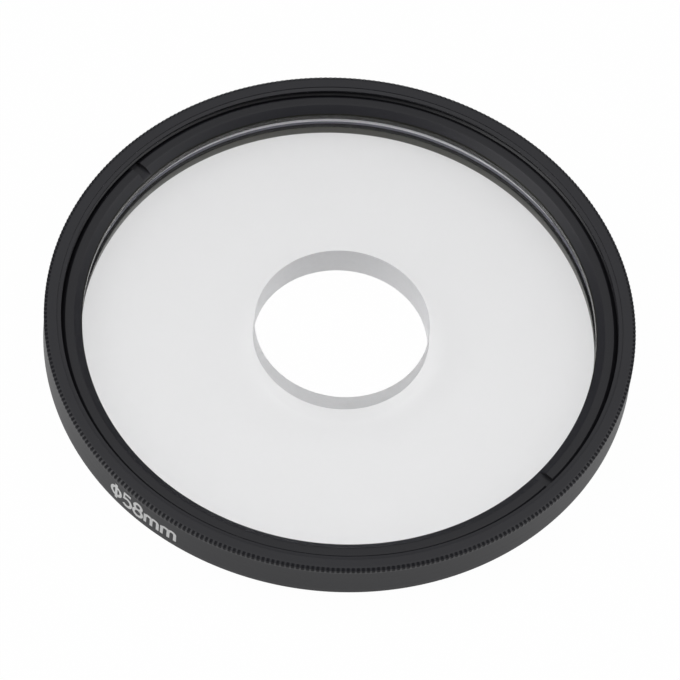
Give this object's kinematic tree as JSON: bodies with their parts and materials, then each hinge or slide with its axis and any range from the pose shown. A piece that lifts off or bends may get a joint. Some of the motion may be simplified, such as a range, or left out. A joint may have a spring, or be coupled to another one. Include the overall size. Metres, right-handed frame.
{
  "type": "centre spot lens filter",
  "caption": "Round black lens filter with a knurled front edge and a rear thread, holding a clear domed glass with a round hole through its centre.",
  "frame": {"origin": "on the optical axis, at the end face of the rear thread, where the filter stands", "axes": "+Z along the optical axis, out of the front face with the knurled edge"},
  "size_m": [0.0606, 0.0606, 0.0059],
  "materials": {
    "anodised_ring": "black anodised, satin",
    "clear_glass": "polished faces, ground edges and centre hole",
    "anodised_retainer": "black anodised, satin"
  },
  "bodies": {
    "root": {"filter_ring": "anodised_ring", "spot_glass": "clear_glass", "retaining_ring": "anodised_retainer"}
  },
  "joints": []
}
